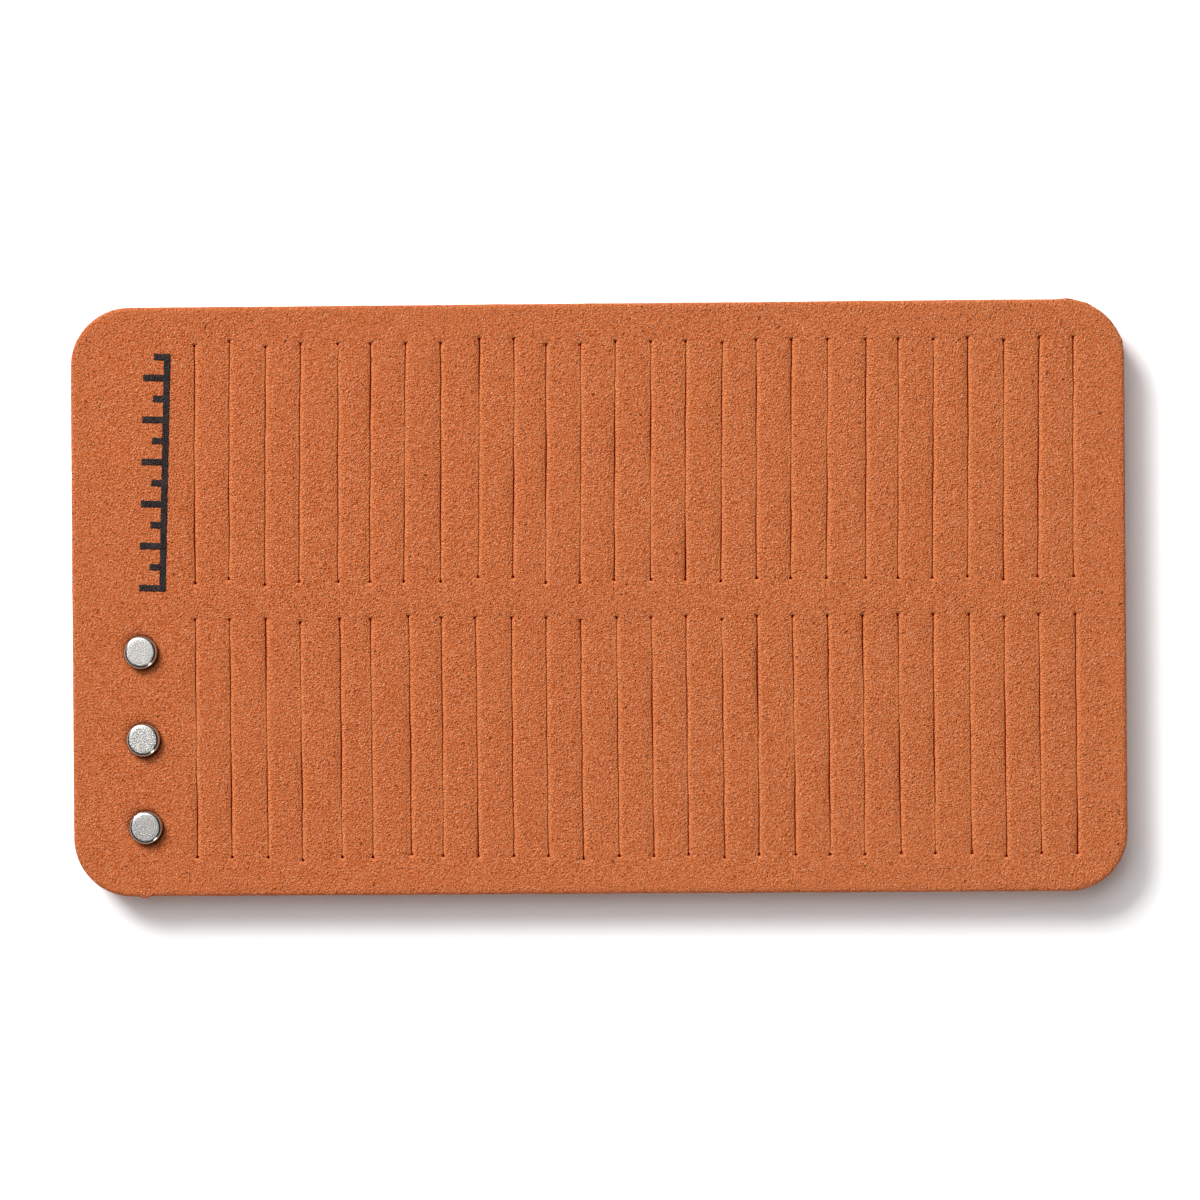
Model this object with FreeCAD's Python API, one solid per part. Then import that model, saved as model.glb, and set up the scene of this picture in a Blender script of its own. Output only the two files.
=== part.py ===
import FreeCAD, Part
import math
import os

# A slit foam holder card: a soft die-cut pad with two rows of knife slits, three small rod
# magnets pressed through it beside the slits, and a plain printed measuring scale.
#
# Millimetres. The pad lies on its back: +Z comes out of the slit face, +X runs along the
# pad away from the magnets, and +Y across it. The origin is the middle of the back face.

# ---- pad ----
pad_length = 125.0
pad_width = 70.0
pad_thickness = 5.0
corner_radius = 7.0
front_edge_roll = 0.4      # soft edge that the die leaves round the slit face
back_edge_roll = 0.2

# ---- knife slits ----
slit_pitch = 4.17
slit_gap = 0.15            # opening that stays after the blade is withdrawn
slit_nick = 0.7            # length of the short crosswise nick at each end of a slit
side_border = 4.4          # uncut foam between a row of slits and the pad's long side
middle_land = 4.2          # uncut foam between the two rows
end_border = 6.0           # last slit to the pad's plain end
magnet_end = 14.6          # least room from the magnets' end to the first slit
slit_length = (pad_width - middle_land) / 2 - side_border
slits_per_row = 1 + math.floor((pad_length - end_border - magnet_end) / slit_pitch)

# Blades that stand out of line in the die, counted from the magnets' end of each row.
bent_blades = {"upper": (4, 8, 9, 19), "lower": (4, 6)}
high_blades = {"upper": (1, 8, 9), "lower": (6,)}
low_blades = {"upper": (2, 10, 11, 15, 23), "lower": (3, 11, 15, 23)}
blade_bend = 0.45          # bent blades cut this much further along the pad
blade_step = 0.35          # high and low blades cut this much up or down
blade_play = 0.08          # every blade wanders by up to this much

# ---- magnets ----
magnet_names = ("magnet_upper", "magnet_middle", "magnet_lower")
magnet_diameter = 4.0
magnet_stand = 1.0         # height of a magnet above the slit face
magnet_edge_radius = 0.4
magnet_clearance = 0.0     # the foam closes on the magnet all round
magnet_inset = 8.2         # pad's end to the upper magnet
magnet_drop = 6.0          # middle of the pad down to the upper magnet
magnet_border = 8.2        # lower magnet to the pad's long side
magnet_lean = 1.3          # degrees by which the line of magnets is out of square
magnet_pitch = (pad_width / 2 - magnet_drop - magnet_border) / (len(magnet_names) - 1)

# ---- printed scale ----
ink_thickness = 0.05
ink_stroke = 0.8
scale_step = 2.5           # tick to tick, with a long tick every second one
long_tick = 3.2
short_tick = 2.0
scale_inset = 10.4         # pad's end to the foot of the scale's base line
scale_rise = 1.2           # middle of the pad up to the first tick
scale_border = 5.5         # least room from the last tick to the pad's long side
scale_lean = 1.6           # degrees by which the print is out of square
scale_ticks = 1 + math.floor((pad_width / 2 - scale_rise - scale_border) / scale_step)


def at(x, y, z=0.0):
    return FreeCAD.Vector(x, y, z)


def wander(number):
    """A small repeatable scatter between -1 and 1, different for each whole number."""
    golden_turn = number * (math.sqrt(5) - 1) / 2
    return 2 * (golden_turn - math.floor(golden_turn)) - 1


def flat_rim(shape, height):
    """The edges of a shape that lie level at one height."""
    return [edge for edge in shape.Edges
            if abs(edge.BoundBox.ZMin - height) < 1e-6 and abs(edge.BoundBox.ZMax - height) < 1e-6]


def rounded_card():
    """The pad before it is pierced: a rectangle with round corners and rolled edges."""
    block = Part.makeBox(pad_length, pad_width, pad_thickness, at(-pad_length / 2, -pad_width / 2))
    upright = [edge for edge in block.Edges if abs(edge.tangentAt(edge.FirstParameter).z) > 0.9]
    card = block.makeFillet(corner_radius, upright)
    for height, roll in ((pad_thickness, front_edge_roll), (0.0, back_edge_roll)):
        card = card.makeFillet(min(roll, pad_thickness / 3), flat_rim(card, height))
    return card


def slit_middle(row, number):
    """Where the middle of one slit lies, with the small faults of its blade."""
    across = 1 if row == "upper" else -1
    last = slits_per_row - 1
    x = pad_length / 2 - end_border - (last - number) * slit_pitch
    y = across * (middle_land + slit_length) / 2
    x += blade_play * wander(number + across)
    y += blade_play * wander(3 * number + 5 * across)
    if number in bent_blades[row]:
        x += blade_bend
    if number in high_blades[row]:
        y += blade_step
    if number in low_blades[row]:
        y -= blade_step
    return x, y


def slit_cutter(x, y):
    """One slit right through the pad, shaped from above like a thin capital I."""
    side, nick, end = slit_gap / 2, slit_nick / 2, slit_length / 2
    upper_right = [(nick, end), (nick, end - slit_gap), (side, end - slit_gap)]
    right = upper_right + [(px, -py) for px, py in reversed(upper_right)]
    outline = right + [(-px, py) for px, py in reversed(right)]
    points = [at(x + px, y + py) for px, py in outline]
    face = Part.Face(Part.makePolygon(points + points[:1]))
    return face.extrude(at(0, 0, pad_thickness))


def magnet_middle(number):
    """Where one magnet stands: the line of magnets leans in from the pad's end."""
    run = number * magnet_pitch
    lean = math.radians(magnet_lean)
    x = -pad_length / 2 + magnet_inset + run * math.sin(lean)
    y = -magnet_drop - run * math.cos(lean)
    return x, y


def foam_pad():
    """The card, pierced by every slit and by a close hole for each magnet."""
    slits = [slit_cutter(*slit_middle(row, number))
             for row in ("upper", "lower") for number in range(slits_per_row)]
    hole_radius = magnet_diameter / 2 + magnet_clearance
    holes = [Part.makeCylinder(hole_radius, pad_thickness, at(*magnet_middle(number)))
             for number in range(len(magnet_names))]
    return rounded_card().cut(slits + holes)


def magnet(number):
    """A plated rod magnet, level with the back of the pad and proud of the slit face."""
    height = pad_thickness + magnet_stand
    rod = Part.makeCylinder(magnet_diameter / 2, height, at(*magnet_middle(number)))
    rims = flat_rim(rod, 0.0) + flat_rim(rod, height)
    return rod.makeFillet(magnet_edge_radius, rims)


def printed_scale():
    """Ink on the slit face: a base line along Y, and ticks that point to the pad's end."""
    foot = at(-pad_length / 2 + scale_inset, scale_rise, pad_thickness)
    base_length = (scale_ticks - 1) * scale_step + ink_stroke
    ink = Part.makeBox(ink_stroke, base_length, ink_thickness, foot)
    for number in range(scale_ticks):
        length = long_tick if number % 2 == 0 else short_tick
        corner = foot + at(ink_stroke - length, number * scale_step)
        ink = ink.fuse(Part.makeBox(length, ink_stroke, ink_thickness, corner))
    ink = ink.removeSplitter()
    ink.rotate(foot, at(0, 0, 1), -scale_lean)
    return ink


def save(name, shape):
    """Write one piece, which has to be a single sound solid."""
    if len(shape.Solids) != 1 or not shape.isValid():
        raise RuntimeError(f"{name} is not one sound solid")
    shape.Solids[0].exportStep(f"parts/{name}.step")
    print(f"{name}: {shape.Volume:.1f} mm3")


os.makedirs("parts", exist_ok=True)
save("foam_pad", foam_pad())
for number, name in enumerate(magnet_names):
    save(name, magnet(number))
save("printed_scale", printed_scale())
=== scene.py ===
import bpy
import math
import numpy as np
from mathutils import Matrix, Vector


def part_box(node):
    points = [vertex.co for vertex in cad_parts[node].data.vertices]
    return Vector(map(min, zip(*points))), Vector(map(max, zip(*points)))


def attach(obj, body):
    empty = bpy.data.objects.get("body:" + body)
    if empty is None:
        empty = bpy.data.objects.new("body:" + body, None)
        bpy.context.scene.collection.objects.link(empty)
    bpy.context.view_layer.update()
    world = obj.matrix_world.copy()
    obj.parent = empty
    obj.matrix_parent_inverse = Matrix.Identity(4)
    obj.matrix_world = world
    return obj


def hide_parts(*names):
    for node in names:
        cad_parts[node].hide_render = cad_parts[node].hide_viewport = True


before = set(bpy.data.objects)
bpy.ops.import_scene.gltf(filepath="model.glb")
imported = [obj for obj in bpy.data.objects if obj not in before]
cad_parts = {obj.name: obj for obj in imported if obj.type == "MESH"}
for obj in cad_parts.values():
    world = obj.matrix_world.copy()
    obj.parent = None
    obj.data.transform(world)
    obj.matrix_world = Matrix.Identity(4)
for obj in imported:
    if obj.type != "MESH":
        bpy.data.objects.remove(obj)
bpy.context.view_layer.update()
mm = 0.001
padLow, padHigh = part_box("foam_pad")
halfLength = (padHigh.x - padLow.x) / 2
halfWidth = (padHigh.y - padLow.y) / 2
thick = padHigh.z - padLow.z
print("frame loaded")


def lerp(a, b, share):
    # a at share 0, b at share 1
    return a + (b - a) * share


def smooth(share):
    # 0 to 1 with level ends: 3 s^2 - 2 s^3
    s = np.clip(share, 0, 1)
    return s * s * (3 - 2 * s)


def wander(number):
    # the same scatter between -1 and 1 that the design gives its blades
    turn = np.asarray(number) * (math.sqrt(5) - 1) / 2
    return 2 * (turn - np.floor(turn)) - 1


def waves(x, y, length, seed, count=5):
    # smooth unevenness about -1 to 1: a sum of sines in random directions, near one wave length
    rng = np.random.default_rng(seed)
    total = 0
    for i in range(count):
        way = rng.uniform(0, 2 * math.pi)
        size = length * rng.uniform(0.7, 1.5)
        phase = rng.uniform(0, 2 * math.pi)
        total = total + np.sin(2 * math.pi * (x * math.cos(way) + y * math.sin(way)) / size + phase)
    return total / count ** 0.5


def filledLines(keys, step):
    # every key line, and between two of them as many even lines as keep under the step
    keys = np.unique(np.round(keys, 7))
    parts = [np.linspace(a, b, max(1, math.ceil((b - a) / step - 0.01)), endpoint=False)
             for a, b in zip(keys[:-1], keys[1:])]
    return np.append(np.concatenate(parts), keys[-1])


def lineAt(lines, value):
    # number of the grid line nearest a value
    return int(np.argmin(np.abs(lines - value)))


def placePiece(name, mesh):
    # a smooth shaded object at the origin for a finished mesh
    mesh.polygons.foreach_set("use_smooth", np.full(len(mesh.polygons), True))
    piece = bpy.data.objects.new(name, mesh)
    bpy.context.scene.collection.objects.link(piece)
    return piece


def meshPiece(name, points, faces):
    # faces that all have the same number of sides
    mesh = bpy.data.meshes.new(name)
    sides = faces.shape[1]
    mesh.vertices.add(len(points))
    mesh.vertices.foreach_set("co", np.asarray(points, np.float32).ravel())
    mesh.loops.add(faces.size)
    mesh.loops.foreach_set("vertex_index", faces.astype(np.int32).ravel())
    mesh.polygons.add(len(faces))
    mesh.polygons.foreach_set("loop_start", np.arange(0, faces.size, sides, dtype=np.int32))
    mesh.update(calc_edges=True)
    mesh.validate()
    return placePiece(name, mesh)


def gridSolid(name, top, bottom, kept, sideways=None, wallShares=(), marks=None):
    # A closed slab over a grid of cells: the kept cells on the top sheet, the same cells turned
    # over on the bottom sheet, and a wall down every edge between a kept and a missing cell.
    # The wall goes from top to bottom by the shares given, moved sideways by a function of them.
    # A mark on a grid point is kept as an attribute, and the wall below a marked point adds 1.
    rows, columns = kept.shape[0] + 1, kept.shape[1] + 1
    index = np.arange(rows * columns).reshape(rows, columns)
    a, b, c, d = index[:-1, :-1], index[:-1, 1:], index[1:, 1:], index[1:, :-1]
    cells = np.stack([a, b, c, d], -1)[kept]
    under = cells[:, ::-1] + rows * columns
    beyond = np.pad(kept, 1)
    sides = []
    for near, start, end in ((beyond[:-2, 1:-1], a, b), (beyond[1:-1, 2:], b, c),
                             (beyond[2:, 1:-1], c, d), (beyond[1:-1, :-2], d, a)):
        bare = kept & ~near
        sides.append(np.stack([start[bare], end[bare]], -1))
    sides = np.concatenate(sides)
    rim = np.unique(sides)
    topFlat, bottomFlat = top.reshape(-1, 3), bottom.reshape(-1, 3)
    markFlat = np.zeros(rows * columns) if marks is None else marks.ravel()
    levels = [rim]
    points = [topFlat, bottomFlat]
    values = [markFlat, markFlat]
    offset = 2 * rows * columns
    for share in wallShares:
        ring = lerp(topFlat[rim], bottomFlat[rim], share)
        ring[:, :2] += sideways(share).reshape(-1, 2)[rim]
        points.append(ring)
        values.append(markFlat[rim] + (markFlat[rim] > 0))
        levels.append(offset + np.arange(len(rim)))
        offset += len(rim)
    levels.append(rim + rows * columns)
    place = np.searchsorted(rim, sides)
    walls = [np.stack([high[place[:, 1]], high[place[:, 0]], low[place[:, 0]], low[place[:, 1]]], -1)
             for high, low in zip(levels[:-1], levels[1:])]
    faces = np.concatenate([cells, under] + walls)
    points = np.concatenate(points)
    used = np.unique(faces)
    piece = meshPiece(name, points[used], np.searchsorted(used, faces))
    if markFlat.any():
        layer = piece.data.attributes.new("lip", "FLOAT", "POINT")
        layer.data.foreach_set("value", np.concatenate(values)[used].astype(np.float32))
    return piece


def turnedSolid(name, profile, centre, steps):
    # a profile of (radius, height) points carried round a circle, closed on the axis at both ends
    profile = np.asarray(profile)
    turn = np.linspace(0, 2 * math.pi, steps, endpoint=False)
    radius, height = profile[1:-1, 0, None], profile[1:-1, 1, None]
    ringPoints = np.stack([radius * np.cos(turn), radius * np.sin(turn), height + 0 * turn], -1)
    poles = [(0, 0, profile[0, 1]), (0, 0, profile[-1, 1])]
    points = np.concatenate([ringPoints.reshape(-1, 3), poles]) + np.array(centre)
    index = np.arange(len(radius) * steps).reshape(-1, steps)
    ahead = np.roll(index, -1, 1)
    quads = np.stack([index[:-1], ahead[:-1], ahead[1:], index[1:]], -1).reshape(-1, 4)
    first, last = len(points) - 2, len(points) - 1
    mesh = bpy.data.meshes.new(name)
    caps = [(first, int(b), int(a)) for a, b in zip(index[0], ahead[0])]
    caps += [(last, int(a), int(b)) for a, b in zip(index[-1], ahead[-1])]
    mesh.from_pydata(points.tolist(), [], quads.tolist() + caps)
    return placePiece(name, mesh)


class Wire:
    # a socket that can be added, multiplied and compared, each time by a Math node of its own
    def __init__(self, nodes, socket):
        self.nodes, self.socket = nodes, socket

    def maths(self, operation, first, second):
        return self.nodes.add("Math", {"operation": operation}, {0: first, 1: second})

    def __add__(self, other):
        return self.maths("ADD", self, other)

    def __sub__(self, other):
        return self.maths("SUBTRACT", self, other)

    def __rsub__(self, other):
        return self.maths("SUBTRACT", other, self)

    def __mul__(self, other):
        return self.maths("MULTIPLY", self, other)

    def __gt__(self, other):
        return self.maths("GREATER_THAN", self, other)

    def __lt__(self, other):
        return self.maths("LESS_THAN", self, other)

    __radd__ = __add__
    __rmul__ = __mul__

    def beside(self, out):
        # another output of the same node
        return Wire(self.nodes, self.socket.node.outputs[out])


class Nodes:
    # a node tree under construction
    def __init__(self, tree):
        self.tree = tree

    def add(self, kind, settings={}, sockets={}, out=0):
        # one node: its settings first, then the value or the link of each socket
        node = self.tree.nodes.new("ShaderNode" + kind)
        for key, value in settings.items():
            setattr(node, key, value)
        for key, value in sockets.items():
            if isinstance(value, Wire):
                self.tree.links.new(value.socket, node.inputs[key])
            else:
                node.inputs[key].default_value = value
        return Wire(self, node.outputs[out])

    def ramp(self, value, low, high, start=0.0, end=1.0):
        # from start at low to end at high, level outside and at both ends
        return self.add("MapRange", {"interpolation_type": "SMOOTHSTEP"},
                        {"Value": value, 1: low, 2: high, 3: start, 4: end})

    def mix(self, share, first, second):
        return self.add("Mix", {"data_type": "RGBA"}, {0: share, 6: first, 7: second}, out=2)

    def axis(self, number, place):
        # one coordinate of a place: 0, 1 and 2 stand for x, y and z
        return self.add("SeparateXYZ", {}, {0: place}, out=number)


class Paint(Nodes):
    # a material under construction, with its places in millimetres
    def __init__(self, name, **shader):
        self.material = bpy.data.materials.new(name)
        self.material.use_nodes = True
        super().__init__(self.material.node_tree)
        self.tree.nodes.clear()
        self.shader = self.tree.nodes.new("ShaderNodeBsdfPrincipled")
        output = self.tree.nodes.new("ShaderNodeOutputMaterial")
        self.tree.links.new(self.shader.outputs[0], output.inputs[0])
        for socket, value in shader.items():
            self.shader.inputs[socket].default_value = value
        whole = self.add("TexCoord", out="Object")
        self.place = self.add("Mapping", {}, {"Vector": whole, "Scale": (1 / mm, 1 / mm, 1 / mm)})

    def noise(self, perMm, detail=2.0, roughness=0.5):
        return self.add("TexNoise", {}, {"Vector": self.place, "Scale": perMm,
                                         "Detail": detail, "Roughness": roughness})

    def stir(self, reach, perMm):
        # places pushed about by up to half the reach, in millimetres, so round spots turn ragged
        push = self.add("TexNoise", {}, {"Vector": self.place, "Scale": perMm, "Detail": 1.0}, out=1)
        push = self.add("VectorMath", {"operation": "SCALE"}, {0: push, "Scale": reach})
        return self.add("VectorMath", {"operation": "ADD"}, {0: self.place, 1: push})

    def cells(self, perMm, place):
        # distance to the nearest point of a cell pattern, and a chance from 0 to 1 for each cell
        near = self.add("TexVoronoi", {}, {"Vector": place, "Scale": perMm})
        return near, self.add("SeparateColor", {}, {0: near.beside(1)})

    def specks(self, perMm, radius, share, place):
        # round spots of about one radius, in a share of the cells of a cell pattern
        near, chance = self.cells(perMm, place)
        return self.ramp(near, 0.0, radius * perMm, 1.0, 0.0) * (chance > 1 - share)

    def bump(self, height, depth):
        return self.add("Bump", {}, {"Height": height, "Distance": depth})

    def feed(self, **sockets):
        for socket, wire in sockets.items():
            self.tree.links.new(wire.socket, self.shader.inputs[socket.replace("_", " ")])
        return self.material


def shade(red, green, blue):
    # a colour given as screen values of 0 to 255
    values = [c / 255 for c in (red, green, blue)]
    return tuple(((c + 0.055) / 1.055) ** 2.4 for c in values) + (1.0,)


grain = dict(
    finePerMm=7.2, fineShare=0.6, coarsePerMm=0.9, coarseShare=0.06,
    cellsPerMm=4.8, cellStir=(0.15, 2.0), spotFade=(0.06, 0.46),
    burstShare=0.16, burstDepth=0.8, glintShare=0.17,
    holesPerMm=0.5, holeRadius=0.26, holeShare=0.3, holeDepth=1.5, holeStir=(0.3, 3.0),
    depth=0.13 * mm)

foamLook = dict(
    roughness=0.6, specular=0.12,
    dark=shade(153, 59, 17), light=shade(196, 122, 87), toneSpan=(0.36, 0.64), toneShare=0.6,
    warm=shade(173, 86, 20), dull=shade(177, 97, 37), cloudPerMm=0.13, cloudSpan=(0.3, 0.7),
    # the span along x of a painted shade gradient across the pad
    cloudShare=0.2, falloffShadeSpan=(-60.0, 60.0),
    # pit: painted shade for the burst cells and holes
    pitShade=shade(104, 26, 4), pitShadeShare=0.66, glintSpeck=shade(240, 188, 152), glintSpeckShare=0.56,
    # painted light: a paler orange for the slits' lips
    lip=shade(208, 128, 76), litLipSpan=(0.35, 0.95), litLipShare=0.38,
    # painted shade: a dark red for inside the slits
    cut=shade(176, 46, 3), cutSpan=(1.0, 1.6))

inkLook = dict(
    roughness=0.6, specular=0.15, black=shade(26, 22, 24), worn=shade(42, 36, 36), wornSpan=(0.3, 0.7),
    missed=shade(120, 66, 44), missedSpan=(0.3, 0.36), missedShare=0.6)

plateLook = dict(
    finePerMm=6.5, patchesPerMm=0.12, patchSpan=(0.35, 0.65), faceSpan=(0.015, 0.002),
    edgeRoughness=0.16, faceRoughness=0.4, depth=0.05 * mm,
    grey=shade(174, 170, 167), pale=shade(196, 192, 186),
    grainDark=shade(120, 118, 119), grainLight=shade(228, 225, 220), grainSpan=(0.35, 0.65), grainShare=0.6,
    dullSpan=(-24.0, -20.0), dullShare=0.16)


def foamGrain(paint):
    # the skin of small closed cells: a bowl for each cell, a share of them burst, and a few holes
    near, chance = paint.cells(grain["cellsPerMm"], paint.stir(*grain["cellStir"]))
    fine = paint.noise(grain["finePerMm"], 1.0)
    coarse = paint.noise(grain["coarsePerMm"])
    spot = paint.ramp(near, *grain["spotFade"], 1.0, 0.0)
    burst = spot * (chance > 1 - grain["burstShare"])
    # a share of the cells that get painted highlights
    bright = spot * (chance < grain["glintShare"])
    holes = paint.specks(grain["holesPerMm"], grain["holeRadius"], grain["holeShare"],
                         paint.stir(*grain["holeStir"]))
    height = near + fine * grain["fineShare"] + coarse * grain["coarseShare"]
    height = height - burst * grain["burstDepth"] - holes * grain["holeDepth"]
    return fine, coarse, burst + holes, bright, height


def foamMaterial():
    look = foamLook
    paint = Paint("orangeFoam", **{"Roughness": look["roughness"], "Specular IOR Level": look["specular"]})
    fine, _, pits, bright, height = foamGrain(paint)
    cloud = paint.ramp(paint.noise(look["cloudPerMm"]), *look["cloudSpan"])
    along = paint.ramp(paint.axis(0, paint.place), *look["falloffShadeSpan"])  # painted shade: darker and warmer towards -x, paler towards +x, against the key light's falloff
    dullness = cloud * look["cloudShare"] + along * (1 - look["cloudShare"])
    colour = paint.mix(dullness, look["warm"], look["dull"])
    tone = paint.mix(paint.ramp(fine, *look["toneSpan"]), look["dark"], look["light"])
    colour = paint.mix(look["toneShare"], colour, tone)
    # painted shade: burst cells and holes coloured a dark red
    colour = paint.mix(pits * look["pitShadeShare"], colour, look["pitShade"])
    # painted highlights: pale specks standing in for glints on the grain
    colour = paint.mix(bright * look["glintSpeckShare"], colour, look["glintSpeck"])
    lip = paint.add("Attribute", {"attribute_name": "lip"}, out="Fac")  # to 1 at a lip, 2 inside a slit
    # painted light: the lips near each slit coloured paler
    colour = paint.mix(paint.ramp(lip, *look["litLipSpan"]) * look["litLipShare"], colour, look["lip"])
    # painted shade: the slit walls coloured a dark red
    colour = paint.mix(paint.ramp(lip, *look["cutSpan"]), colour, look["cut"])
    return paint.feed(Base_Color=colour, Normal=paint.bump(height, grain["depth"]))


def inkMaterial():
    look = inkLook
    paint = Paint("blackInk", **{"Roughness": look["roughness"], "Specular IOR Level": look["specular"]})
    fine, coarse, _, _, height = foamGrain(paint)
    missed = paint.ramp(fine, *look["missedSpan"], look["missedShare"], 0.0)
    colour = paint.mix(paint.ramp(coarse, *look["wornSpan"]), look["black"], look["worn"])
    colour = paint.mix(missed, colour, look["missed"])
    return paint.feed(Base_Color=colour, Normal=paint.bump(height, grain["depth"]))


def plateMaterial():
    # plating over a pressed core: a grainy, satin face, and smooth bright edges
    look = plateLook
    paint = Paint("nickelPlate", Metallic=1.0)
    fine = paint.noise(look["finePerMm"], 1.0, 0.6)
    patches = paint.ramp(paint.noise(look["patchesPerMm"], 1.0), *look["patchSpan"])
    faceHigh = seats[0][4] / mm
    onFace = paint.ramp(paint.axis(2, paint.place), *(faceHigh - below for below in look["faceSpan"]))
    # the lower magnet's face is a little duller
    dull = paint.ramp(paint.axis(1, paint.place), *look["dullSpan"], look["dullShare"], 0.0)
    colour = paint.mix(patches, look["grey"], look["pale"])
    grainy = paint.mix(paint.ramp(fine, *look["grainSpan"]) - dull, look["grainDark"], look["grainLight"])
    colour = paint.mix(onFace * look["grainShare"], colour, grainy)
    rough = paint.ramp(onFace, 0.0, 1.0, look["edgeRoughness"], look["faceRoughness"])
    return paint.feed(Base_Color=colour, Roughness=rough, Normal=paint.bump(fine * onFace, look["depth"]))


pad = dict(
    cornerRadius=7.0 * mm, cornerFade=(0.42, 0.82), frontRoll=0.45 * mm, backRoll=0.2 * mm, waist=0.12 * mm,
    slitsPerRow=26, slitPitch=4.17 * mm, endBorder=6.0 * mm, sideBorder=4.4 * mm, middleLand=4.2 * mm,
    slitGap=0.15 * mm, nick=0.8 * mm, nickTall=0.38 * mm, nickTaper=0.85,
    bladeBend=0.45 * mm, bladeStep=0.35 * mm, bladePlay=0.08 * mm,
    bentBlades=((4, 8, 9, 19), (4, 6)), highBlades=((1, 8, 9), (6,)),
    lowBlades=((2, 10, 11, 15, 23), (3, 11, 15, 23)),
    slitTilt=(0.010, -0.004), slitTiltPlay=0.4, slitWave=0.05 * mm, slitWaves=2.6, slitJitter=0.018 * mm,
    lipDrop=0.165 * mm, lipReach=0.82 * mm, lipPower=2.1, lipPlay=0.35, lipPlayLength=11 * mm,
    gapPlay=0.3, backLips=0.4, slitClose=0.94, nickClose=0.78, wallShares=(0.035, 0.5, 0.965),
    unevenness=0.035 * mm, unevenTop=1.6, longWave=28 * mm, longShare=0.6, shortWave=9 * mm, levelIn=3 * mm,
    dimple=0.14 * mm, dimpleReach=1.3 * mm, dimplePower=2.2, groove=0.3 * mm, grooveWidth=0.1,
    # faults where the die's blade was joined, each a place, a size and a width
    nibs=((-halfLength + 8.4 * mm, -halfWidth, 0.28 * mm, 0.5 * mm),
          (halfLength - 0.2 * mm, halfWidth - 4.9 * mm, 0.16 * mm, 0.45 * mm),
          (halfLength - 6.6 * mm, halfWidth, 0.14 * mm, 0.8 * mm),
          (halfLength - 4.6 * mm, halfWidth - 0.6 * mm, 0.1 * mm, 0.5 * mm)),
    nibReach=1.2 * mm, rimWaves=((0.014 * mm, 12 * mm, 5), (0.008 * mm, 2.6 * mm, 6)),
    # the grid: its steps, and its lines in from the rim, beside a slit and past a slit's end
    columnStep=1.1 * mm, rowStep=1.15 * mm, leastStep=0.035 * mm,
    rimLines=np.array([0, 0.04, 0.12, 0.24, 0.45, 0.8, 1.4]) * mm,
    lipLines=(0.18 * mm, 0.6 * mm, 0.95 * mm), lipZone=1 * mm, slitMargin=1.25 * mm,
    endLines=(-0.6 * mm, -0.25 * mm, 0, 0.45 * mm, 0.9 * mm),
    shiftFade=(0.3 * mm, 1.5 * mm), rimFade=(3.8 * mm, 1.4 * mm),
    seatLines=(0.25, 0.5, 0.75, 1, 1.3), seatReach=1.55, seatRound=1.12, seatFade=3 * mm, marginFade=2 * mm)

plainFar = 9 * mm  # the offset given to columns that belong to no slit

magnets = dict(
    names=("magnet_upper", "magnet_middle", "magnet_lower"),
    flat=1.53 * mm, flatPoints=5, edgePoints=9, steps=96)


def magnetSeats():
    # centre, radius, foot and face of each magnet, from the frame
    seats = []
    for name in magnets["names"]:
        low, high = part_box(name)
        seats.append(((low.x + high.x) / 2, (low.y + high.y) / 2, (high.x - low.x) / 2, low.z, high.z))
    return seats


seats = magnetSeats()


def slitTable():
    # where every slit's middle lies, as arrays [row, slit]: upper row first
    number = np.arange(pad["slitsPerRow"])
    length = halfWidth - pad["middleLand"] / 2 - pad["sideBorder"]
    fromEnd = (pad["slitsPerRow"] - 1 - number) * pad["slitPitch"]
    x = np.tile(halfLength - pad["endBorder"] - fromEnd, (2, 1))
    y = np.zeros_like(x)
    for row, across in enumerate((1, -1)):
        x[row] += pad["bladePlay"] * wander(number + across)
        y[row] += pad["bladePlay"] * wander(3 * number + 5 * across)
        x[row] += pad["bladeBend"] * np.isin(number, pad["bentBlades"][row])
        y[row] += pad["bladeStep"] * np.isin(number, pad["highBlades"][row])
        y[row] -= pad["bladeStep"] * np.isin(number, pad["lowBlades"][row])
    return x, y, length


slitX, slitShift, slitLength = slitTable()
slitMiddle = (pad["middleLand"] + slitLength) / 2


def outlineRoom(x, y):
    # distance in from the rounded rectangle, and the outward direction there
    inner = pad["cornerRadius"]
    cx = np.clip(x, inner - halfLength, halfLength - inner)
    cy = np.clip(y, inner - halfWidth, halfWidth - inner)
    dx, dy = x - cx, y - cy
    away = np.hypot(dx, dy)
    flat = np.minimum(halfLength - abs(x), halfWidth - abs(y))
    room = np.where((dx != 0) & (dy != 0), inner - away, flat)
    away = np.where(away > 0, away, 1)
    return room, dx / away, dy / away


def rollDrop(room, roll):
    # quarter-circle edge: roll - sqrt(roll^2 - (roll - room)^2)
    inside = np.clip(roll - room, 0, roll)
    return roll - np.sqrt(roll ** 2 - inside ** 2)


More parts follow.
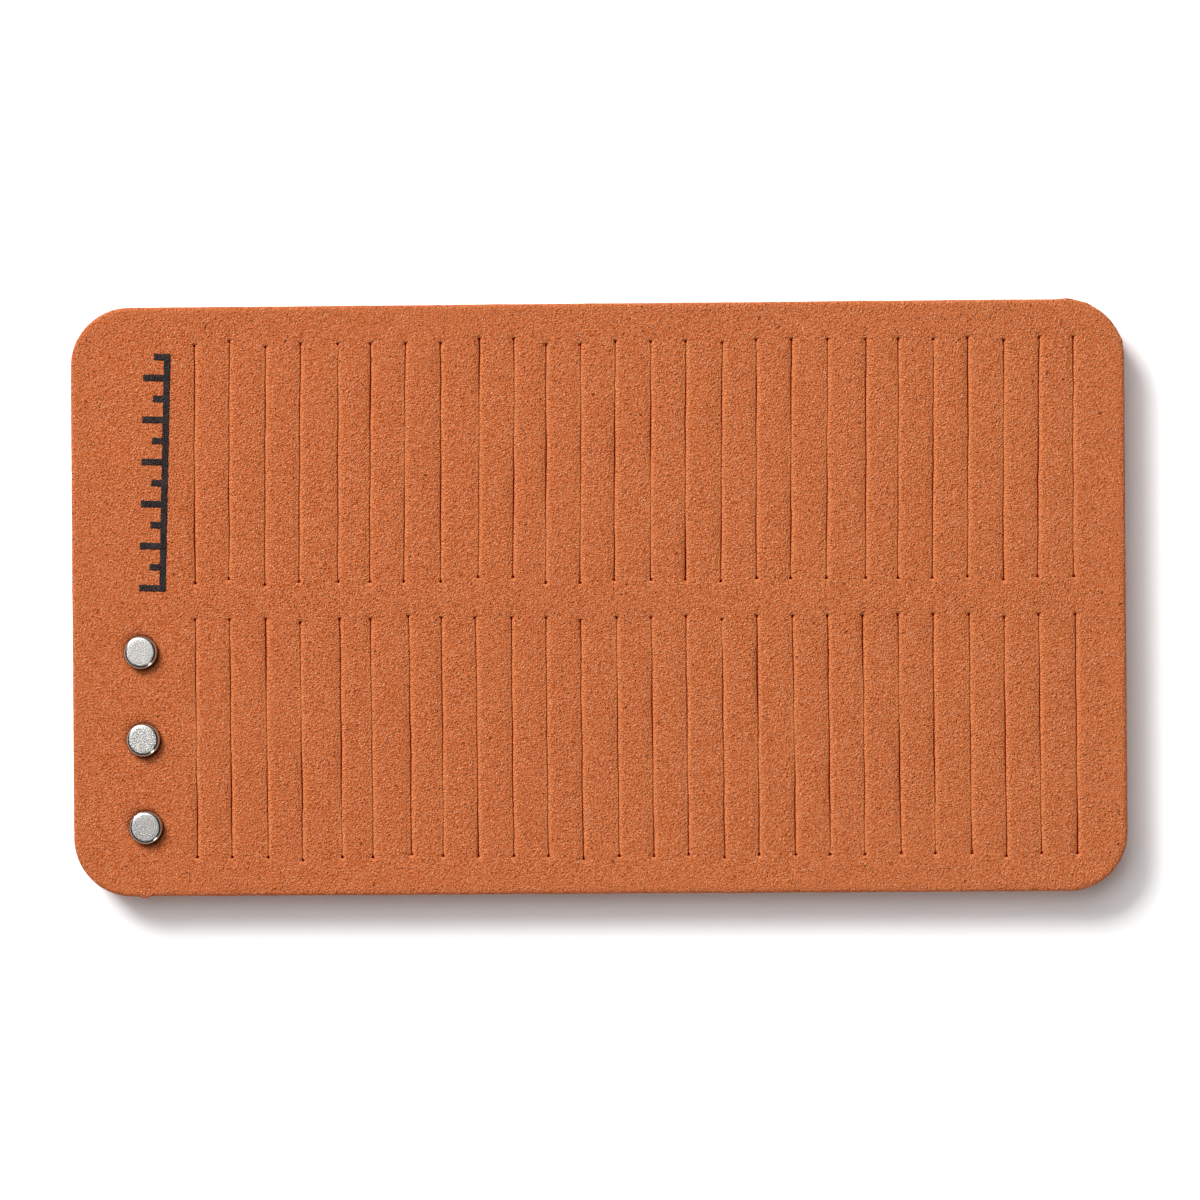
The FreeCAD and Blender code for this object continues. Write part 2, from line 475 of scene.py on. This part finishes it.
def faceHeight(x, y):
    # the slit face without its slits: level, a little uneven but never above the design's face,
    # pulled down round each magnet and more steeply close to it
    room = outlineRoom(x, y)[0]
    uneven = lerp(waves(x, y, pad["shortWave"], 2), waves(x, y, pad["longWave"], 1), pad["longShare"])
    height = thick + pad["unevenness"] * (uneven - pad["unevenTop"]) * smooth(room / pad["levelIn"])
    height = height - rollDrop(room, pad["frontRoll"])
    for sx, sy, radius, low, high in seats:
        out = (np.hypot(x - sx, y - sy) - radius) / pad["dimpleReach"]
        height = height - pad["dimple"] * (1 - np.clip(out, 0, 1)) ** pad["dimplePower"]
        height = height - pad["groove"] * np.exp(-(out / pad["grooveWidth"]) ** 2) * (out > -0.01)
    return height


def squareToDisc(a, b):
    # carries each square ring on to the circle of the same reach
    reach = np.maximum(abs(a), abs(b))
    safe = np.where(reach > 0, reach, 1)
    wide = abs(a) >= abs(b)
    angle = math.pi / 4 * np.where(wide, b / safe, a / safe)
    u = np.where(wide, np.sign(a) * np.cos(angle), np.sin(angle))
    v = np.where(wide, np.sin(angle), np.sign(b) * np.cos(angle))
    return reach * u, reach * v


def roundCorners(x, y):
    # the outer part of the plain rectangle's corner squares is carried on to quarter discs
    inner = pad["cornerRadius"]
    a = np.clip((abs(x) - halfLength + inner) / inner, 0, 1)
    b = np.clip((abs(y) - halfWidth + inner) / inner, 0, 1)
    u, v = squareToDisc(a, b)
    start, end = pad["cornerFade"]
    share = smooth((np.maximum(a, b) - start) / (end - start))
    u, v = lerp(a, u, share), lerp(b, v, share)
    corner = (a > 0) & (b > 0)
    x = np.where(corner, np.sign(x) * (halfLength - inner + inner * u), x)
    y = np.where(corner, np.sign(y) * (halfWidth - inner + inner * v), y)
    return x, y


def padLines():
    # The grid's lines. A column is a slit's number and an offset from it, or stands by itself
    # in a margin; rows crowd at the slits' ends; both crowd at the rims and round the magnets.
    rim = pad["rimLines"]
    outward = np.sort([*pad["seatLines"], pad["seatRound"], pad["seatReach"]]) * seats[0][2]
    seat = np.concatenate([-outward[::-1], [0], outward])
    lip = np.sort([*pad["lipLines"], pad["slitGap"] / 2, pad["nick"] / 2])
    lips = np.concatenate([-lip[::-1], lip])
    firstLip = slitX.min() - pad["slitMargin"]
    lastLip = slitX.max() + pad["slitMargin"]
    leftKeys = np.concatenate([-halfLength + rim, seats[0][0] + seat, [firstLip]])
    left = filledLines(leftKeys, pad["columnStep"])
    right = filledLines(np.concatenate([halfLength - rim, [lastLip]]), pad["columnStep"])
    number = np.arange(pad["slitsPerRow"])[:, None]
    slitColumns = number + lips / pad["slitPitch"]
    anchors = np.concatenate([slitColumns, number + 0.5], 1).ravel()[:-1]
    ends = np.sort([*pad["endLines"], pad["nickTall"]])
    low = slitMiddle - slitLength / 2
    high = slitMiddle + slitLength / 2
    half = np.concatenate([[0], low + ends, high - ends, halfWidth - rim])
    upper = filledLines(half, pad["rowStep"])
    keys = np.concatenate([-half] + [sy + seat for sx, sy, radius, a, b in seats])
    keys = np.unique(np.round(keys, 7))
    close = np.concatenate([[False], np.diff(keys) < pad["leastStep"]])
    lower = filledLines(keys[~close], pad["rowStep"])
    rows = np.unique(np.round(np.concatenate([lower, upper]), 8))
    return left, anchors, right, rows


def slitPath(y):
    # x of every slit at the rows' heights: its place, plus a lean, a slow bow and a small wave;
    # across the middle land it passes over from the lower row's slits to the upper row's
    number = np.arange(pad["slitsPerRow"])[None, :]
    rng = np.random.default_rng(21)
    paths = []
    for row, across in enumerate((1, -1)):
        along = np.clip((y - across * slitMiddle) / (slitLength / 2), -1, 1)[:, None]
        tilt = pad["slitTilt"][row]
        tilt = tilt + pad["slitTiltPlay"] * abs(tilt) * wander(7 * number + row)
        lean = tilt * slitLength / 2
        bow = pad["slitWave"] * wander(5 * number + 2 * row) * (1 - along ** 2)
        turn = pad["slitWaves"] * along + wander(9 * number + row)
        wave = pad["slitWave"] / 2 * np.sin(math.pi * turn)
        jitter = pad["slitJitter"] * rng.normal(size=(len(y), number.size))
        paths.append(slitX[row][None, :] + lean * along + bow + wave + jitter)
    share = smooth((y + pad["middleLand"] / 2) / pad["middleLand"])[:, None]
    return lerp(paths[1], paths[0], share)


def seatShift(y):
    # how far the line of magnets has leaned over at each row, level across each magnet
    reach = pad["seatReach"] * seats[0][2]
    knots = sorted((sy + side, sx - seats[0][0])
                   for sx, sy, radius, low, high in seats for side in (-reach, reach))
    return np.interp(y, [k[0] for k in knots], [k[1] for k in knots])


def padGrid():
    # Flat positions of every grid point, and for each column its slit and the offset from it.
    # Rows move with each slit's own shift.
    left, anchors, right, rows = padLines()
    count = pad["slitsPerRow"]
    nearest = np.clip(np.round(anchors), 0, count - 1).astype(int)
    isMiddle = abs(anchors - np.floor(anchors) - 0.5) < 1e-6
    offset = np.where(isMiddle, plainFar, (anchors - nearest) * pad["slitPitch"])
    path = slitPath(rows)
    floorSlit = np.floor(anchors + 1e-9).astype(int).clip(0, count - 2)
    between = (path[:, floorSlit] + path[:, floorSlit + 1]) / 2
    slitPart = np.where(isMiddle[None, :], between, path[:, nearest] + offset[None, :])
    x = np.concatenate([np.tile(left, (len(rows), 1)), slitPart, np.tile(right, (len(rows), 1))], 1)

    # the rows' shift fades out at the middle land and at the rims
    fades = [*pad["shiftFade"], *(halfWidth - room for room in pad["rimFade"])]
    held = np.interp(abs(rows), fades, [0, 1, 1, 0])
    betweenShift = (slitShift[:, floorSlit] + slitShift[:, floorSlit + 1]) / 2
    shifts = np.where(isMiddle[None, :], betweenShift, slitShift[:, nearest])
    fadeIn = np.clip((left - left[-1]) / pad["marginFade"] + 1, 0, 1)
    fadeOut = np.clip((right[0] - right) / pad["marginFade"] + 1, 0, 1)
    shifts = np.concatenate([fadeIn * slitShift[:, :1], shifts, fadeOut * slitShift[:, -1:]], 1)
    shift = np.where(rows[:, None] > 0, shifts[:1], shifts[1:]) * held[:, None]
    y = rows[:, None] + shift

    offsets = np.concatenate([np.full(len(left), plainFar), offset, np.full(len(right), plainFar)])
    slit = np.concatenate([np.zeros(len(left), int), nearest, np.full(len(right), count - 1)])
    return x, y, rows, offsets, slit, len(left)


def shapeNicks(y, rows, offsets):
    # the inner line of each crosswise nick bends to its outer line: a nick tapers to its tips
    nick = pad["nick"] / 2
    taper = pad["nickTaper"] * pad["nickTall"] * np.clip(offsets / nick, -1, 1) ** 2
    taper = taper * (abs(offsets) < nick * 1.01)
    for across in (1, -1):
        for end in (1, -1):
            line = lineAt(rows, across * slitMiddle + end * (slitLength / 2 - pad["nickTall"]))
            y[line] += end * taper
    return y


def seatMagnets(x, y, rows, left):
    # round holes: near a magnet the square grid is drawn on to circles, and fades back to square
    reach = pad["seatReach"] * seats[0][2]
    columns = left[None, :] - seats[0][0]
    weight = smooth(1 - (abs(columns) - reach) / pad["seatFade"])
    weight = weight * smooth((left - left[0]) / pad["marginFade"])
    n = len(left)
    x[:, :n] += seatShift(rows)[:, None] * weight
    hole = np.zeros((len(rows), n), bool)
    for sx, sy, radius, low, high in seats:
        a, b = np.broadcast_arrays(columns, rows[:, None] - sy)
        ring = np.maximum(abs(a), abs(b))
        u, v = squareToDisc(a, b)
        inReach = ring < reach + 1e-7
        share = smooth((reach - ring) / (reach - pad["seatRound"] * radius)) * inReach
        x[:, :n] = np.where(inReach, lerp(sx + a, sx + u, share), x[:, :n])
        y[:, :n] = np.where(inReach, lerp(sy + b, sy + v, share), y[:, :n])
        hole |= ring < radius - 1e-6
    return x, y, hole


def slitCells(rows, offsets):
    # True for the grid cells that a slit takes away
    gone = np.zeros((len(rows) - 1, len(offsets) - 1), bool)
    gap, nick = pad["slitGap"] / 2, pad["nick"] / 2
    centre = (offsets[1:] + offsets[:-1]) / 2
    close = (abs(offsets[1:]) < pad["lipZone"]) & (abs(offsets[:-1]) < pad["lipZone"])
    narrow = close & (abs(centre) < gap)
    wide = close & (abs(centre) < nick)
    for across in (1, -1):
        low = lineAt(rows, across * slitMiddle - slitLength / 2)
        high = lineAt(rows, across * slitMiddle + slitLength / 2)
        gone[low:high] |= narrow[None, :]
        gone[low] |= wide
        gone[high - 1] |= wide
    return gone


def rimNibs(x, y):
    # how far the outline stands out: faint waves, and a bell for each nib and bump on it
    out = sum(size * waves(x, y, length, seed) for size, length, seed in pad["rimWaves"])
    for nx, ny, size, width in pad["nibs"]:
        out = out + size * np.exp(-((x - nx) ** 2 + (y - ny) ** 2) / width ** 2)
    return out


def makePad():
    # Two sheets over one grid, the slit face and the back, with a wall round every opening.
    x, y, rows, offsets, slit, leftCount = padGrid()
    y = shapeNicks(y, rows, offsets)
    gone = slitCells(rows, offsets)
    x, y, hole = seatMagnets(x, y, rows, x[-1, :leftCount].copy())
    gone[:, :leftCount - 1] |= hole[:-1, :-1] | hole[1:, :-1] | hole[:-1, 1:] | hole[1:, 1:]
    x, y = roundCorners(x, y)

    # how far each point is past its slit's end and beside it, and the lips' rounding from that
    gap = pad["slitGap"] / 2
    middle = np.where(rows > 0, 1, -1)[:, None] * slitMiddle + slitShift[np.where(rows > 0, 0, 1)][:, slit]
    past = np.maximum(abs(y - middle) - slitLength / 2, 0)
    beside = np.maximum(abs(offsets)[None, :] - gap, 0)
    near = np.clip(1 - np.hypot(beside, past) / pad["lipReach"], 0, 1)
    play = waves(x, y, pad["lipPlayLength"], 8, 4)
    lips = pad["lipDrop"] * (1 + pad["lipPlay"] * play) * near ** pad["lipPower"]
    alongSlit = (abs(abs(offsets) - gap) < 1e-6)[None, :] & (past < 1e-6)
    x = x + np.where(alongSlit, np.sign(offsets)[None, :] * gap * pad["gapPlay"] * play, 0)

    room, outX, outY = outlineRoom(x, y)
    nib = rimNibs(x, y) * (1 - smooth(room / pad["nibReach"]))
    z = faceHeight(x, y) - lips
    zBack = rollDrop(room, pad["backRoll"]) + pad["backLips"] * lips
    top = np.stack([x + nib * outX, y + nib * outY, z], -1)
    bottom = np.stack([x + nib * outX, y + nib * outY, zBack], -1)
    onRim = (room < 1e-6)[..., None]
    inward = -pad["waist"] * np.stack([outX, outY], -1) * onRim
    closing = -offsets * pad["slitClose"] * np.where(abs(offsets) > 2 * gap, pad["nickClose"], 1)
    closing = np.where((abs(offsets) < pad["lipZone"]) & (past < 1e-6), closing, 0)
    closing = np.stack([closing, 0 * closing], -1)

    def walls(share):
        # the outline is drawn in like a waist; a slit is closed from just under its lips
        return inward * math.sin(math.pi * share) + closing

    piece = gridSolid("foamPad", top, bottom, ~gone, walls, pad["wallShares"], near)
    piece.data.materials.append(foamMaterial())
    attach(piece, "root")
    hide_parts("foam_pad")
    return piece


foamPad = makePad()
print("foam pad", len(foamPad.data.polygons), "faces")


def magnetProfile(radius, low, high):
    # from the back's middle to the face's middle: flat, quarter-round edge, wall, edge, flat
    edge = radius - magnets["flat"]
    turn = np.linspace(0, math.pi / 2, magnets["edgePoints"])
    up = [(radius - edge + edge * math.sin(t), low + edge - edge * math.cos(t)) for t in turn]
    down = [(radius - edge + edge * math.cos(t), high - edge + edge * math.sin(t)) for t in turn]
    flats = np.linspace(0, 1, magnets["flatPoints"])[:-1]
    back = [(r * magnets["flat"], low) for r in flats]
    face = [(r * magnets["flat"], high) for r in flats[::-1]]
    return back + up + down + face


def makeMagnets():
    plate = plateMaterial()
    for name, (x, y, radius, low, high) in zip(magnets["names"], seats):
        profile = magnetProfile(radius, low, high)
        piece = turnedSolid("plated" + name.title().replace("_", ""), profile, (x, y, 0), magnets["steps"])
        piece.data.materials.append(plate)
        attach(piece, "root")
        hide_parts(name)


makeMagnets()
print("magnets made")


ink = dict(
    stroke=0.8 * mm, step=2.5 * mm, ticks=12, longTick=3.2 * mm, shortTick=2.0 * mm, lean=1.6,
    foot=(-halfLength + 10.4 * mm, 1.2 * mm), film=0.03 * mm, soak=0.12 * mm,
    ragged=0.022 * mm, raggedLengths=(0.9 * mm, 0.8 * mm), cell=0.18 * mm)


def makeScale():
    # One grid over the whole mark: columns run from the long ticks' tips to the base line's far
    # side, rows up the scale, and only the inked cells are kept. Ragged edges: every point
    # wanders by a fine wave.
    stroke, step = ink["stroke"], ink["step"]
    tip, shortTip = stroke - ink["longTick"], stroke - ink["shortTick"]
    u = filledLines([tip, shortTip, 0, stroke], ink["cell"])
    feet = np.arange(ink["ticks"]) * step
    v = filledLines(np.concatenate([feet, feet + stroke]), ink["cell"])
    a, b = np.meshgrid(u, v)
    uMid, vMid = np.meshgrid((u[1:] + u[:-1]) / 2, (v[1:] + v[:-1]) / 2)
    number = np.floor(vMid / step).astype(int)
    onTick = vMid - number * step < stroke
    kept = (uMid > 0) | (onTick & ((number % 2 == 0) | (uMid > shortTip)))
    a = a + ink["ragged"] * waves(a, b, ink["raggedLengths"][0], 11)
    b = b + ink["ragged"] * waves(a, b, ink["raggedLengths"][1], 12)
    lean = math.radians(ink["lean"])
    x = ink["foot"][0] + a * math.cos(lean) + b * math.sin(lean)
    y = ink["foot"][1] + b * math.cos(lean) - a * math.sin(lean)
    height = faceHeight(x, y)
    top = np.stack([x, y, height + ink["film"]], -1)
    bottom = np.stack([x, y, height - ink["soak"]], -1)
    piece = gridSolid("inkScale", top, bottom, kept)
    piece.data.materials.append(inkMaterial())
    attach(piece, "root")
    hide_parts("printed_scale")


makeScale()
print("scale printed")


studio = dict(
    floor=(0.94, 0.94, 0.94, 1.0), floorRoughness=0.9,
    zenith=(0.05, 0.045, 0.045, 1.0), horizon=(0.62, 0.58, 0.55, 1.0), skyFade=(0.2, 0.4),
    key=dict(way=(-0.53, 0.67, 0.62), distance=1.6, size=0.7, power=36.2),
    top=dict(way=(-0.33, 0.5, 1.0), distance=1.6, size=1.5, power=18.0),
    glint=dict(way=(0.5, -0.85, 0.5), distance=1.0, size=0.22, power=2.0))

lens = dict(distance=0.711, focal=180.0, lean=2.155, tilt=0.06, roll=-0.43, slide=(0.33 * mm, -0.17 * mm))


def makeFloor():
    side = 3.0
    points = np.array([(-side, -side, 0), (side, -side, 0), (side, side, 0), (-side, side, 0)])
    floor = meshPiece("studioFloor", points, np.array([[0, 1, 2, 3]]))
    paint = Paint("paleFloor", **{"Base Color": studio["floor"], "Roughness": studio["floorRoughness"]})
    floor.data.materials.append(paint.material)


def makeLight(name):
    values = studio[name]
    data = bpy.data.lights.new(name + "Light", "AREA")
    data.size = values["size"]
    data.energy = values["power"]
    lamp = bpy.data.objects.new(name + "Light", data)
    way = Vector(values["way"]).normalized()
    lamp.location = way * values["distance"]
    lamp.rotation_euler = way.to_track_quat("Z", "Y").to_euler()
    bpy.context.scene.collection.objects.link(lamp)


def makeWorld():
    # a room that is pale low down and dark overhead, seen only in the plating and as soft fill
    world = bpy.data.worlds.new("paleRoom")
    world.use_nodes = True
    room = Nodes(world.node_tree)
    upward = room.axis(2, room.add("TexCoord", out="Generated"))
    colour = room.mix(room.ramp(upward, *studio["skyFade"]), studio["horizon"], studio["zenith"])
    room.tree.links.new(colour.socket, room.tree.nodes["Background"].inputs["Color"])
    bpy.context.scene.world = world


def makeCamera():
    data = bpy.data.cameras.new("camera")
    data.lens = lens["focal"]
    data.sensor_width = 36.0
    data.clip_start, data.clip_end = 0.01, 20.0
    camera = bpy.data.objects.new("camera", data)
    turn = Matrix.Rotation(math.radians(lens["lean"]), 4, "Y")
    turn = turn @ Matrix.Rotation(math.radians(lens["tilt"]), 4, "X")
    turn = turn @ Matrix.Rotation(math.radians(lens["roll"]), 4, "Z")
    back = Matrix.Translation((*lens["slide"], lens["distance"]))
    camera.matrix_world = Matrix.Translation((0, 0, thick)) @ turn @ back
    bpy.context.scene.collection.objects.link(camera)
    bpy.context.scene.camera = camera


makeFloor()
makeWorld()
for lightName in ("key", "top", "glint"):
    makeLight(lightName)
makeCamera()
bpy.context.scene.view_settings.view_transform = "Standard"
print("studio ready")
